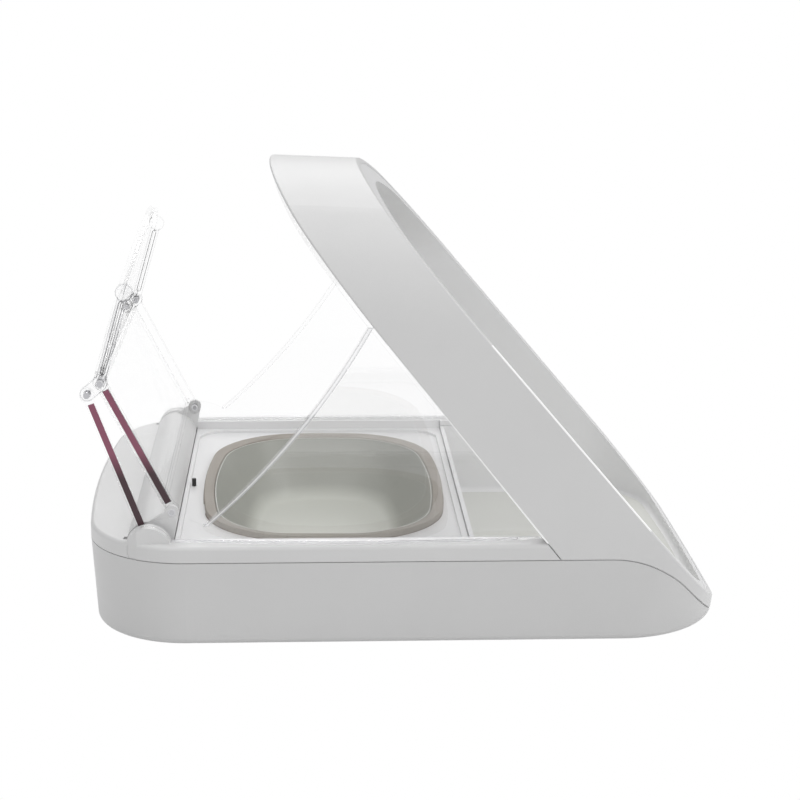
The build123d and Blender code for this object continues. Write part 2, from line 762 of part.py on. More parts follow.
with BuildPart() as base_upper_shell:
    add(rim_block.part)
    with BuildSketch(Plane.YZ.offset(-barrel_half)):
        with Locations((drive_y, drive_z)):
            Circle(barrel_radius - barrel_wall / 2)
    extrude(amount=2 * barrel_half, mode=Mode.SUBTRACT)
    add(barrel.part & barrel_room.part)
    # slots for the links
    for low in (-slot_outer, slot_inner):
        with BuildSketch(Plane.YZ.offset(low)):
            with Locations((drive_y, drive_z)):
                Circle(barrel_radius + slot_play)
        extrude(amount=slot_outer - slot_inner, mode=Mode.SUBTRACT)
finish(base_upper_shell, "base_upper_shell")

ledge_z = deck_height - tray_ledge_drop
tray_middle_y = (tray_rear_y + tray_front_y) / 2
tray_length = tray_rear_y - tray_front_y
with BuildPart() as bowl_tray:
    with BuildSketch(Plane.XY.offset(tray_floor - tray_plate)):
        with Locations((0, tray_middle_y)):
            Rectangle(2 * tray_half, tray_length)
    extrude(amount=deck_height - tray_floor + tray_plate)
    # inside: a step along the sides, then the floor
    with BuildSketch(Plane.XY.offset(ledge_z)):
        with Locations((0, tray_middle_y)):
            Rectangle(2 * (tray_half - tray_plate), tray_length)
    extrude(amount=deck_height, mode=Mode.SUBTRACT)
    with BuildSketch(Plane.XY.offset(tray_floor)):
        with Locations((0, tray_middle_y + (ridge_width - tray_plate) / 2)):
            RectangleRounded(2 * (tray_half - tray_plate - tray_ledge),
                             tray_length - ridge_width - tray_plate, tray_corner)
    extrude(amount=deck_height, mode=Mode.SUBTRACT)
    # opening that the bowl hangs in
    with BuildSketch(Plane.XY.offset(tray_floor)):
        add(bowl_outline(bowl_rim_width - bowl_wall - fit_gap))
    extrude(amount=-2 * tray_plate, mode=Mode.SUBTRACT)
    # room below the sides of the floor: the plate keeps one thickness under the step
    with BuildSketch(Plane.XY.offset(tray_floor - tray_plate)):
        with Locations((-tray_half, tray_middle_y), (tray_half, tray_middle_y)):
            Rectangle(2 * tray_ledge, tray_length)
    extrude(amount=ledge_z - tray_floor, mode=Mode.SUBTRACT)
finish(bowl_tray, "bowl_tray")

with BuildPart() as bowl:
    add(dish_form(bowl_wall))
    with BuildSketch(Plane.XY.offset(bowl_flange_z)):
        add(bowl_outline(bowl_rim_skirt))
    extrude(amount=-bowl_lip)
    add(dish_form(0), mode=Mode.SUBTRACT)
finish(bowl, "bowl")

with BuildPart() as bowl_rim:
    with BuildSketch(Plane.XY.offset(tray_floor)):
        add(bowl_outline(0))
    extrude(amount=bowl_rim_rise)
    with BuildSketch(Plane.XY.offset(tray_floor)):
        add(bowl_outline(bowl_rim_width - bowl_rim_lap))
    extrude(amount=bowl_rim_rise, mode=Mode.SUBTRACT)
    with BuildSketch(Plane.XY.offset(tray_floor)):
        add(bowl_outline(bowl_rim_skirt))
    extrude(amount=bowl_rim_rise - bowl_lip, mode=Mode.SUBTRACT)
    fillet(bowl_rim.faces().sort_by(Axis.Z)[-1].edges(), bowl_lip / 2)
finish(bowl_rim, "bowl_rim")

# ---------------------------------------------------------------- rear cover
wing_top_z = body_height - wing_top_drop
cover_gap = fit_gap / sin(radians(band_angle))
collar_step = cover_collar / sin(radians(band_angle))
wing_low = (hinge_y - wing_low_lead, deck_height + wing_low_rise)
wing_top = (band_y(wing_top_z) + collar_step, wing_top_z)


def wing_outline():
    """Side view of a wing: a curved free edge, the hood's slope and the rim it stands on."""
    foot_z = deck_height + fit_gap
    heel = (drive_y + barrel_radius - 1, foot_z)
    hump = (hinge_y, deck_height + barrel_radius + 1)
    with BuildSketch(mode=Mode.PRIVATE) as view:
        with BuildLine():
            SagittaArc(wing_low, wing_top, wing_sag)
            Polyline(wing_top, (band_y(wing_top_z) + cover_gap, wing_top_z),
                     (band_y(foot_z) + cover_gap, foot_z), heel)
            ThreePointArc(heel, hump, wing_low)
        make_face()
    return view.sketch


def wing_bead_outline():
    """Side view of the bead along a wing's free edge."""
    under = (wing_low[0] - wing_bead, wing_low[1])
    over = (wing_top[0] - wing_bead, wing_top[1])
    with BuildSketch(mode=Mode.PRIVATE) as view:
        with BuildLine():
            SagittaArc(wing_low, wing_top, wing_sag)
            Line(wing_top, over)
            SagittaArc(over, under, -wing_sag)
            Line(under, wing_low)
        make_face()
    return view.sketch


with BuildPart() as rear_cover:
    for start in (-wing_x - wing_wall, wing_x):
        with BuildSketch(Plane.YZ.offset(start)):
            add(wing_outline())
            with Locations((drive_y, drive_z)):
                Circle(barrel_radius + fit_gap, mode=Mode.SUBTRACT)
        extrude(amount=wing_wall)
        with BuildSketch(Plane.YZ.offset(start - wing_bead_depth)):
            add(wing_bead_outline())
        extrude(amount=wing_wall + 2 * wing_bead_depth)
    # strips that bow out over the rails
    foot_z = deck_height + fit_gap
    foot_front = band_y(foot_z) + cover_gap
    foot_back = tray_rear_y
    with BuildSketch(Plane.XY.offset(foot_z)):
        for side in (-1, 1):
            edge = side * (wing_x + wing_wall)
            with BuildLine():
                ThreePointArc((edge, foot_front),
                              (edge + side * wing_foot_bow, (foot_front + foot_back) / 2),
                              (edge, foot_back))
                Line((edge, foot_back), (edge, foot_front))
            make_face()
    extrude(amount=wing_foot)
with BuildPart() as collar:
    add(body_form(half_width - wing_x - wing_wall))
    add(body_form(ring_depth), mode=Mode.SUBTRACT)
    add(side_block([
        (band_y(deck_height) + cover_gap, deck_height + fit_gap),
        (band_y(deck_height) + cover_gap + collar_step, deck_height + fit_gap),
        (band_y(body_height) + cover_gap + collar_step, body_height),
        (band_y(body_height) + cover_gap, body_height),
    ]), mode=Mode.INTERSECT)
with BuildPart() as cover_whole:
    add(rear_cover.part)
    add(collar.part)
finish(cover_whole, "rear_cover")

# ---------------------------------------------------------------- lid
def lid_plane(place, angle, start):
    """Side plane at a pin: across from x = start, its x along the arm and its y to the bowl's side."""
    along = forward(1.0, angle)
    return Plane(origin=(start, place[0], place[1]), x_dir=(0, along[0], along[1]), z_dir=(1, 0, 0))


def sheet_plane(place, angle, depth):
    """Plane of a panel: its x across, its y along the arm, as deep as stated on the bowl's side."""
    along = forward(1.0, angle)
    under = (0, -along[1], along[0])
    origin = (0, place[0] + depth * under[1], place[1] + depth * under[2])
    return Plane(origin=origin, x_dir=(1, 0, 0), z_dir=under)


def bar(place, angle, length, start, width):
    """A flat bar in side view with an eye at each end, starting at x = start."""
    with BuildPart() as solid:
        with BuildSketch(lid_plane(place, angle, start)):
            with Locations((length / 2, 0)):
                Rectangle(length, arm_width)
            with Locations((0, 0), (length, 0)):
                Circle(eye_radius)
        extrude(amount=width)
    return solid.part


def pin_bore(place, start, width, radius):
    """A cylinder across at a pin, to cut a hole or make a pin."""
    with BuildPart() as solid:
        with BuildSketch(Plane.YZ.offset(start)):
            with Locations(place):
                Circle(radius)
        extrude(amount=width)
    return solid.part


def strip_pocket(place, angle, length, face_x):
    """Inlay along the outer (-X) face of a bar."""
    with BuildPart() as solid:
        with BuildSketch(lid_plane(place, angle, face_x)):
            with Locations((length / 2, (arm_width - strip_width) / 4)):
                Rectangle(length - eye_room, strip_width)
        extrude(amount=strip_depth)
    return solid.part


rear_inner_x = rear_rim_x - rear_rim
front_x = rear_rim_x + side_play
with BuildPart() as lid_rear_panel:
    for start in (-rear_rim_x, rear_inner_x):
        add(bar(hinge, rear_open, rear_arm, start, rear_rim))
    with BuildSketch(sheet_plane(hinge, rear_open, -lid_rise)):
        with BuildLine():
            Polyline((-rear_inner_x, eye_radius + 1), (-rear_inner_x, rear_arm - fold_gap),
                     (rear_inner_x, rear_arm - fold_gap), (rear_inner_x, eye_radius + 1), close=True)
        make_face()
    extrude(amount=lid_sheet)
    with BuildSketch(sheet_plane(hinge, rear_open, -lid_rise)):
        with Locations((0, rear_arm - fold_gap - lid_rib / 2), (0, eye_radius + 1 + lid_rib / 2)):
            Rectangle(2 * rear_inner_x, lid_rib)
    extrude(amount=2 * lid_sheet)
    add(pin_bore(hinge, -half_width, body_width, pin_radius + pin_play), mode=Mode.SUBTRACT)
    add(pin_bore(fold, -half_width, body_width, pin_radius), mode=Mode.SUBTRACT)
    add(strip_pocket(hinge, rear_open, rear_arm, -rear_rim_x), mode=Mode.SUBTRACT)
finish(lid_rear_panel, "lid_rear_panel")

with BuildPart() as lid_arm_strip:
    add(strip_pocket(hinge, rear_open, rear_arm, -rear_rim_x))
finish(lid_arm_strip, "lid_arm_strip")

with BuildPart() as lid_front_panel:
    for start in (-front_x - front_rim, front_x):
        add(bar(fold, front_open, front_arm, start, front_rim))
        with BuildSketch(Plane.YZ.offset(start)):
            with Locations(link_pin):
                Circle(eye_radius)
        extrude(amount=front_rim)
        with BuildSketch(lid_plane(fold, front_open + link_offset_turn, start)):
            with Locations((link_offset / 2, 0)):
                Rectangle(link_offset, 2 * eye_radius)
        extrude(amount=front_rim)
        # a channel along each face of the arm
        with BuildSketch(lid_plane(fold, front_open, start)):
            with Locations((front_arm / 2, 0)):
                SlotOverall(front_arm - eye_room, channel_width)
        extrude(amount=channel_depth, mode=Mode.SUBTRACT)
        with BuildSketch(lid_plane(fold, front_open, start + front_rim)):
            with Locations((front_arm / 2, 0)):
                SlotOverall(front_arm - eye_room, channel_width)
        extrude(amount=-channel_depth, mode=Mode.SUBTRACT)
        with BuildSketch(Plane.YZ.offset(start - side_play)):
            with Locations(knob):
                Circle(knob_radius)
        extrude(amount=front_rim + 2 * side_play)
    notch_y = eye_radius + side_play
    with BuildSketch(sheet_plane(fold, front_open, -lid_rise)) as front_sheet:
        with BuildLine():
            Polyline((-front_x, front_arm), (-front_x, notch_y), (-rear_inner_x + side_play, notch_y),
                     (-rear_inner_x + side_play, fold_gap), (rear_inner_x - side_play, fold_gap),
                     (rear_inner_x - side_play, notch_y), (front_x, notch_y), (front_x, front_arm))
            ThreePointArc((front_x, front_arm), (0, front_arm + front_bulge), (-front_x, front_arm))
        make_face()
    extrude(amount=lid_sheet)
    with BuildSketch(sheet_plane(fold, front_open, -lid_rise)):
        add(front_sheet.sketch_local)
        offset(amount=-lid_rib, kind=Kind.INTERSECTION, mode=Mode.SUBTRACT)
    extrude(amount=2 * lid_sheet)
    add(pin_bore(fold, -half_width, body_width, pin_radius + pin_play), mode=Mode.SUBTRACT)
    add(pin_bore(link_pin, -half_width, body_width, pin_radius), mode=Mode.SUBTRACT)
finish(lid_front_panel, "lid_front_panel")

for side_name, start in (("left", -slot_outer + side_play), ("right", link_x)):
    with BuildPart() as link:
        add(bar(drive, link_open, link_length, start, link_thickness))
        add(pin_bore(link_pin, start, link_thickness, pin_radius + pin_play), mode=Mode.SUBTRACT)
        if side_name == "left":
            add(strip_pocket(drive, link_open, link_length, start), mode=Mode.SUBTRACT)
    finish(link, "lid_link_" + side_name)

with BuildPart() as link_strip:
    add(strip_pocket(drive, link_open, link_length, -slot_outer + side_play))
finish(link_strip, "lid_link_strip")

with BuildPart() as hinge_pins:
    add(pin_bore(hinge, -slot_inner, slot_inner - rear_inner_x, pin_radius))
    add(pin_bore(hinge, rear_inner_x, slot_inner - rear_inner_x, pin_radius))
finish(hinge_pins, "lid_hinge_pins")

with BuildPart() as fold_pins:
    add(pin_bore(fold, -slot_inner, slot_inner - rear_inner_x, pin_radius))
    add(pin_bore(fold, rear_inner_x, slot_inner - rear_inner_x, pin_radius))
finish(fold_pins, "lid_fold_pins")

with BuildPart() as link_pins:
    link_pin_length = front_rim + side_play + link_thickness
    add(pin_bore(link_pin, -front_x - link_pin_length, link_pin_length, pin_radius))
    add(pin_bore(link_pin, front_x, link_pin_length, pin_radius))
finish(link_pins, "lid_link_pins")

# ---------------------------------------------------------------- drive
motor_place = step_from(drive, gear_module * (gear_teeth + pinion_teeth) / 2 + gear_slack, motor_angle)
mesh_turn = degrees(atan2(motor_place[1] - drive_z, motor_place[0] - drive_y))
gear_start = gear_x - gear_width / 2

with BuildPart() as drive_shaft:
    add(pin_bore(drive, -slot_inner, 2 * slot_inner, shaft_radius))
    with BuildSketch(Plane.YZ.offset(-front_x)):
        with Locations((drive_y, drive_z + 2 * shaft_radius - shaft_flat)):
            Rectangle(2 * shaft_radius, 2 * shaft_radius)
    extrude(amount=2 * front_x, mode=Mode.SUBTRACT)
finish(drive_shaft, "drive_shaft")

with BuildPart() as drive_gear:
    with BuildSketch(Plane.YZ.offset(gear_start)):
        with Locations((drive_y, drive_z)):
            add(gear_outline(gear_teeth, mesh_turn))
    extrude(amount=gear_width)
    with BuildSketch(Plane.YZ.offset(gear_start + gear_width)):
        with Locations((drive_y, drive_z)):
            Circle(2 * shaft_radius)
    extrude(amount=gear_width / 2)
    add(drive_shaft.part, mode=Mode.SUBTRACT)
finish(drive_gear, "drive_gear")

half_turn = degrees(pi)
pinion_bore = motor_shaft_radius + pin_play
with BuildPart() as motor_pinion:
    with BuildSketch(Plane.YZ.offset(gear_start)):
        with Locations(motor_place):
            add(gear_outline(pinion_teeth, mesh_turn + half_turn + half_turn / pinion_teeth))
    extrude(amount=gear_width)
    add(pin_bore(motor_place, gear_start - gear_width, gear_width, motor_shaft_radius))
finish(motor_pinion, "motor_pinion")

motor_end = gear_start - side_play
with BuildPart() as drive_motor:
    add(pin_bore(motor_place, motor_end - motor_length, motor_length, motor_radius))
    fillet(drive_motor.edges().filter_by(GeomType.CIRCLE).sort_by(Axis.X)[0], motor_edge)
    with BuildSketch(Plane.XY.offset(bay_top_z + bay_wall)):
        with Locations((motor_end - motor_length / 2, motor_place[0])):
            Rectangle(motor_length / 2, motor_foot)
    extrude(amount=motor_place[1] - bay_top_z - bay_wall)
    add(pin_bore(motor_place, motor_end - gear_width, gear_width, pinion_bore), mode=Mode.SUBTRACT)
finish(drive_motor, "drive_motor")

# ---------------------------------------------------------------- board, buttons and light
wall_y = half_length - (seam_height - button_height) * tan(radians(side_draft))
wall_inner_y = wall_y - shell_wall
flange_slope = (button_radius + button_travel) * tan(radians(side_draft))
flange_y = wall_inner_y - end_bow * (button_spacing / half_width) ** 2 - flange_slope - fit_gap
board_y = flange_y - button_travel - shell_wall
with BuildPart() as main_circuit_board:
    with BuildSketch(Plane.XZ.offset(-board_y)):
        with Locations((0, (bay_top_z + bay_wall + seam_height) / 2)):
            Rectangle(board_width, seam_height - bay_top_z - bay_wall)
    extrude(amount=board_thickness)
    with BuildSketch(Plane.XZ.offset(-board_y + board_thickness)):
        with Locations((-board_width / 4, button_height), (board_width / 4, button_height)):
            Rectangle(chip_length, chip_width)
    extrude(amount=board_thickness)
finish(main_circuit_board, "main_circuit_board")

for count, button_x in enumerate(button_places):
    with BuildPart() as button:
        with BuildSketch(Plane.XZ.offset(-flange_y)):
            with Locations((button_x, button_height)):
                Circle(button_radius)
        extrude(amount=-(wall_y + button_proud - flange_y))
        fillet(button.edges().filter_by(GeomType.CIRCLE).sort_by(Axis.Y)[-1], button_proud / 2)
        with BuildSketch(Plane.XZ.offset(-flange_y)):
            with Locations((button_x, button_height)):
                Circle(button_radius + button_travel)
        extrude(amount=button_travel)
    finish(button, "button_" + str(count + 1))

with BuildPart() as status_light:
    with BuildSketch(Plane.XZ.offset(-board_y)):
        with Locations((light_x, button_height)):
            Circle(light_radius - pin_play)
    extrude(amount=-(wall_y - end_bow * (light_x / half_width) ** 2 - board_y))
finish(status_light, "status_light")

with BuildPart() as lid_sensor_peg:
    with BuildSketch(Plane.XY.offset(tray_floor)):
        with Locations((0, tray_rear_y - tray_plate - peg_gap - peg_radius)):
            Circle(peg_radius)
    extrude(amount=peg_height)
finish(lid_sensor_peg, "lid_sensor_peg")

with BuildPart() as case_screws:
    head_z = floor_gap + 2 * screw_radius
    with BuildSketch(Plane.XY.offset(head_z)):
        with Locations(*screw_places):
            Circle(screw_head * screw_radius)
    extrude(amount=-screw_radius)
    with BuildSketch(Plane.XY.offset(head_z)):
        with Locations(*screw_places):
            Circle(screw_radius)
    extrude(amount=(tray_floor - tray_plate - head_z) / 2)
finish(case_screws, "case_screws")
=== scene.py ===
# %% [markdown]
# # A pet feeder with a folding lid
# The feeder is a satin white housing: a shallow base, a sloping hood over a mat, and a bowl under a clear
# lid that has folded back. The measured model comes in as a fixed frame, in metres, and this lesson gives
# it its finishes, its small moulded details, its light and its camera.

# %% The frame
import bpy
import bmesh
import math
from mathutils import Matrix, Vector, kdtree


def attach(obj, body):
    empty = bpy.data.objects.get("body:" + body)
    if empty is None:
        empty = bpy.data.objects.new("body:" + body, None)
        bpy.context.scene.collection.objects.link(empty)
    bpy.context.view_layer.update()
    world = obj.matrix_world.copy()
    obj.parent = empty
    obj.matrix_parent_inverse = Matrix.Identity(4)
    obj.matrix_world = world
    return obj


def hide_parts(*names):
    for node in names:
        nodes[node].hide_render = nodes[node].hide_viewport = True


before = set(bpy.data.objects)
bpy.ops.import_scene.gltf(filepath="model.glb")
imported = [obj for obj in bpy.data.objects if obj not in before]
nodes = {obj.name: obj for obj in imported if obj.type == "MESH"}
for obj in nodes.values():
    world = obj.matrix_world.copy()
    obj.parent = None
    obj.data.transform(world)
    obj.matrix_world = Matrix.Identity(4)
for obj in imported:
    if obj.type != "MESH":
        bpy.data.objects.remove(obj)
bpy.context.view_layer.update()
scene = bpy.context.scene
mm = 0.001

# %% [markdown]
# ## The camera
# The photograph was taken from the feeder's left side, a little above the hood, with a long lens. The
# camera's place was solved from the edges of the housing, so it is written as real distances in
# millimetres and real angles in degrees.

# %% The camera
camera_place = Vector((-923.5, 48.8, 334.8)) * mm
camera_turn = math.radians(3.086)     # turned towards the hood
camera_dip = math.radians(14.822)     # looking down
camera_roll = math.radians(0.548)
sensor = 36.0
lens = sensor * 1834.95 / 800         # the solved focal length was in widths of the photograph

ahead = Vector((math.cos(camera_turn) * math.cos(camera_dip),
                -math.sin(camera_turn) * math.cos(camera_dip), -math.sin(camera_dip)))
level = Vector((-math.sin(camera_turn), -math.cos(camera_turn), 0.0))
upright = level.cross(ahead)
right = level * math.cos(camera_roll) + upright * math.sin(camera_roll)
up = upright * math.cos(camera_roll) - level * math.sin(camera_roll)

camera_data = bpy.data.cameras.new("photo_camera")
camera_data.sensor_width = sensor
camera_data.lens = lens
camera_data.clip_start = 0.05
camera_data.clip_end = 20.0
camera = bpy.data.objects.new("photo_camera", camera_data)
scene.collection.objects.link(camera)
turn = Matrix((right, up, -ahead)).transposed().to_4x4()
camera.matrix_world = Matrix.Translation(camera_place) @ turn
scene.camera = camera
print("lens", round(lens, 1))

# %% [markdown]
# ## Helpers for finishes
# A finish here is a Principled shader whose colour and roughness vary a little over the surface, because
# moulded plastic is never perfectly even. The patterns read Object coordinates, so they stay on the piece.

# %% Helpers for finishes


def new_finish(name, colour, roughness=0.4, **sockets):
    """A material with a Principled shader, returned with its tree and shader."""
    material = bpy.data.materials.new(name)
    material.use_nodes = True
    tree = material.node_tree
    shader = tree.nodes["Principled BSDF"]
    shader.inputs["Base Color"].default_value = (*colour, 1.0)
    shader.inputs["Roughness"].default_value = roughness
    for socket, value in sockets.items():
        shader.inputs[socket.replace("_", " ")].default_value = value
    return material, tree, shader


def object_noise(tree, scale, detail=2.0):
    """A noise pattern that stays on the object."""
    place = tree.nodes.new("ShaderNodeTexCoord")
    noise = tree.nodes.new("ShaderNodeTexNoise")
    noise.inputs["Scale"].default_value = scale
    noise.inputs["Detail"].default_value = detail
    tree.links.new(place.outputs["Object"], noise.inputs["Vector"])
    return noise


def vary_colour(tree, shader, colour, amount, scale):
    """Lets the base colour drift lighter and darker by a small amount."""
    noise = object_noise(tree, scale, 3.0)
    ramp = tree.nodes.new("ShaderNodeValToRGB")
    ramp.color_ramp.elements[0].position = 0.3
    ramp.color_ramp.elements[1].position = 0.7
    ramp.color_ramp.elements[0].color = (*[c * (1 - amount) for c in colour], 1.0)
    ramp.color_ramp.elements[1].color = (*[min(c * (1 + amount), 1.0) for c in colour], 1.0)
    tree.links.new(noise.outputs["Fac"], ramp.inputs["Fac"])
    tree.links.new(ramp.outputs["Color"], shader.inputs["Base Color"])


def vary_roughness(tree, shader, low, high, scale):
    """Lets the roughness drift between two values, as moulded skin does."""
    noise = object_noise(tree, scale, 4.0)
    span = tree.nodes.new("ShaderNodeMapRange")
    span.inputs["To Min"].default_value = low
    span.inputs["To Max"].default_value = high
    tree.links.new(noise.outputs["Fac"], span.inputs["Value"])
    tree.links.new(span.outputs["Result"], shader.inputs["Roughness"])


def add_grain(tree, shader, scale, height, distance=0.0002):
    """A fine bump, as a spark-eroded mould leaves."""
    noise = object_noise(tree, scale, 3.0)
    bump = tree.nodes.new("ShaderNodeBump")
    bump.inputs["Strength"].default_value = height
    bump.inputs["Distance"].default_value = distance
    tree.links.new(noise.outputs["Fac"], bump.inputs["Height"])
    tree.links.new(bump.outputs["Normal"], shader.inputs["Normal"])


def height_ramp(tree, shader, low_z, high_z, low_colour, high_colour):
    """Blends the base colour from one height to another, in the piece's own coordinates."""
    place = tree.nodes.new("ShaderNodeTexCoord")
    axes = tree.nodes.new("ShaderNodeSeparateXYZ")
    span = tree.nodes.new("ShaderNodeMapRange")
    span.inputs["From Min"].default_value = low_z
    span.inputs["From Max"].default_value = high_z
    ramp = tree.nodes.new("ShaderNodeValToRGB")
    ramp.color_ramp.elements[0].color = (*low_colour, 1.0)
    ramp.color_ramp.elements[1].color = (*high_colour, 1.0)
    tree.links.new(place.outputs["Object"], axes.inputs["Vector"])
    tree.links.new(axes.outputs["Z"], span.inputs["Value"])
    tree.links.new(span.outputs["Result"], ramp.inputs["Fac"])
    tree.links.new(ramp.outputs["Color"], shader.inputs["Base Color"])


def moulded(name, colour, roughness, grain=0.12, scale=1400.0, amount=0.015, **sockets):
    """Satin moulded plastic or rubber: even colour, slightly uneven gloss, fine grain."""
    material, tree, shader = new_finish(name, colour, roughness, **sockets)
    vary_colour(tree, shader, colour, amount, 18.0)
    vary_roughness(tree, shader, roughness * 0.9, roughness * 1.12, 60.0)
    add_grain(tree, shader, scale, grain)
    return material


# %% [markdown]
# ## The finishes
# The housing is satin white plastic, and its lower shell a shade greyer. The bowl is sage with a taupe
# rubber rim, the mat is pale sage rubber, and the strips on the lid's left arm and link are dark maroon.
# The bowl's floor is painted lighter and its wall darker with height: painted light and shade.

# %% The finishes
shell_white = moulded("shell_white", (0.80, 0.80, 0.80), 0.38, IOR=1.5)
liner_white = moulded("liner_white", (0.86, 0.86, 0.865), 0.42, IOR=1.5)
base_white = moulded("base_white", (0.76, 0.76, 0.76), 0.42, IOR=1.5)
bowl_sage, tree, shader = new_finish("bowl_sage", (0.55, 0.555, 0.51), 0.34, IOR=1.5)
# painted light and shade: the bowl's floor lighter and its wall darker, by height
height_ramp(tree, shader, 16 * mm, 23 * mm, (0.69, 0.70, 0.645), (0.41, 0.415, 0.38))
vary_roughness(tree, shader, 0.3, 0.38, 60.0)
add_grain(tree, shader, 1400.0, 0.05)
rim_taupe = moulded("rim_taupe", (0.36, 0.325, 0.285), 0.5, grain=0.2)
mat_sage = moulded("mat_sage", (0.71, 0.715, 0.68), 0.65, grain=0.35, scale=900.0)
dark_plastic = moulded("dark_plastic", (0.03, 0.03, 0.03), 0.45)
gear_nylon = moulded("gear_nylon", (0.75, 0.74, 0.68), 0.45)
foot_rubber = moulded("foot_rubber", (0.05, 0.05, 0.05), 0.7, grain=0.4)
cell_wrap = moulded("cell_wrap", (0.15, 0.16, 0.18), 0.35)
board_green = moulded("board_green", (0.02, 0.12, 0.06), 0.4)
copper_wire = moulded("copper_wire", (0.50, 0.22, 0.10), 0.35, Metallic=0.9)
steel = moulded("steel", (0.55, 0.55, 0.57), 0.28, grain=0.05, Metallic=1.0)


def clear_plastic(name, tint, density_look, roughness=0.03):
    """Thin clear moulding: mostly see-through, with a Fresnel gloss that gathers on its edges."""
    material = bpy.data.materials.new(name)
    material.use_nodes = True
    tree = material.node_tree
    shader = tree.nodes["Principled BSDF"]
    shader.inputs["Base Color"].default_value = (*tint, 1.0)
    shader.inputs["Roughness"].default_value = roughness
    shader.inputs["IOR"].default_value = 1.49
    shader.inputs["Transmission Weight"].default_value = 1.0
    shader.inputs["Alpha"].default_value = density_look
    shader.inputs["Specular IOR Level"].default_value = 0.25
    add_grain(tree, shader, 300.0, 0.02)
    return material


clear_sheet = clear_plastic("clear_sheet", (0.97, 0.97, 0.98), 0.14)
light_lens = clear_plastic("light_lens", (0.80, 0.90, 0.80), 0.9, 0.3)

finish_of = {
    "base_lower_shell": base_white, "base_upper_shell": shell_white, "hood_outer": shell_white,
    "hood_liner": liner_white, "antenna_coil": copper_wire, "bowl_tray": liner_white, "bowl": bowl_sage,
    "bowl_rim": rim_taupe, "mat": mat_sage, "rear_cover": clear_sheet, "lid_rear_panel": clear_sheet,
    "lid_front_panel": clear_sheet, "lid_arm_strip": clear_sheet, "lid_link_left": clear_sheet,
    "lid_link_right": clear_sheet, "lid_link_strip": clear_sheet, "lid_hinge_pins": steel,
    "lid_fold_pins": steel, "lid_link_pins": steel, "drive_shaft": steel, "drive_gear": gear_nylon,
    "motor_pinion": gear_nylon, "drive_motor": steel, "main_circuit_board": board_green,
    "status_light": light_lens, "lid_sensor_peg": dark_plastic, "button_1": base_white,
    "button_2": base_white, "button_3": base_white, "battery_door_left": base_white,
    "battery_door_right": base_white, "battery_cells": cell_wrap, "battery_contacts": steel,
    "rubber_feet": foot_rubber, "case_screws": steel,
}
for name, node in nodes.items():
    node.data.materials.clear()
    node.data.materials.append(finish_of[name])
print(len(nodes), "nodes have a finish")

# %% [markdown]
# ## The maroon strips
# The strips are tinted clear plastic let into the bars. Their colour is painted lighter where they stand
# free above the deck, a painted backlight, and nearly black where the drive is behind them, a painted shade.
# A ramp along their height paints both, read from Object coordinates.

# %% The maroon strips
maroon, tree, shader = new_finish("maroon_strip", (0.3, 0.15, 0.2), 0.3, IOR=1.5)
# painted light and shade: dark low on the strip, lit maroon higher up
height_ramp(tree, shader, 80 * mm, 92 * mm, (0.055, 0.022, 0.030), (0.31, 0.095, 0.155))
add_grain(tree, shader, 900.0, 0.05)
for name in ("lid_arm_strip", "lid_link_strip"):
    nodes[name].data.materials.clear()
    nodes[name].data.materials.append(maroon)

# %% [markdown]
# ## Painted edge glints on the clear pieces
# A thin clear moulding shows mostly by its edges, where light glints; here pale beads paint that glint. Each
# clear piece is copied, its loose triangles are merged, and Geometry Nodes turns every sharp edge into a
# fine round bead with a painted highlight finish. That follows the real outline of each piece, channels and
# eyes included, without a list of points.

# %% Bead tree


def bead_tree():
    """Geometry Nodes: every edge sharper than an angle becomes a tube of a radius."""
    tree = bpy.data.node_groups.new("edge_beads", "GeometryNodeTree")
    face = tree.interface
    face.new_socket("Geometry", in_out="INPUT", socket_type="NodeSocketGeometry")
    sharp = face.new_socket("Sharp Angle", in_out="INPUT", socket_type="NodeSocketFloat")
    thick = face.new_socket("Bead Radius", in_out="INPUT", socket_type="NodeSocketFloat")
    paint = face.new_socket("Finish", in_out="INPUT", socket_type="NodeSocketMaterial")
    face.new_socket("Geometry", in_out="OUTPUT", socket_type="NodeSocketGeometry")
    source = tree.nodes.new("NodeGroupInput")
    result = tree.nodes.new("NodeGroupOutput")
    angle = tree.nodes.new("GeometryNodeInputMeshEdgeAngle")
    test = tree.nodes.new("FunctionNodeCompare")
    lines = tree.nodes.new("GeometryNodeMeshToCurve")
    ring = tree.nodes.new("GeometryNodeCurvePrimitiveCircle")
    ring.inputs["Resolution"].default_value = 6
    tube = tree.nodes.new("GeometryNodeCurveToMesh")
    tube.inputs["Fill Caps"].default_value = True
    real = tree.nodes.new("GeometryNodeRealizeInstances")
    finish = tree.nodes.new("GeometryNodeSetMaterial")
    tree.links.new(source.outputs["Geometry"], lines.inputs["Mesh"])
    tree.links.new(angle.outputs["Unsigned Angle"], test.inputs[0])
    tree.links.new(source.outputs["Sharp Angle"], test.inputs[1])
    tree.links.new(test.outputs[0], lines.inputs["Selection"])
    tree.links.new(lines.outputs["Curve"], tube.inputs["Curve"])
    tree.links.new(source.outputs["Bead Radius"], ring.inputs["Radius"])
    tree.links.new(ring.outputs["Curve"], tube.inputs["Profile Curve"])
    tree.links.new(tube.outputs["Mesh"], real.inputs["Geometry"])
    tree.links.new(real.outputs["Geometry"], finish.inputs["Geometry"])
    tree.links.new(source.outputs["Finish"], finish.inputs["Material"])
    tree.links.new(finish.outputs["Geometry"], result.inputs["Geometry"])
    return tree, sharp.identifier, thick.identifier, paint.identifier


edge_tree, sharp_id, thick_id, paint_id = bead_tree()


def merged_shape(node_name):
    """A measured node's mesh with its loose triangles joined, ready to edit."""
    shape = bmesh.new()
    shape.from_mesh(nodes[node_name].data)
    bmesh.ops.remove_doubles(shape, verts=shape.verts, dist=0.02 * mm)
    bmesh.ops.dissolve_limit(shape, angle_limit=math.radians(1.0), verts=shape.verts, edges=shape.edges)
    return shape


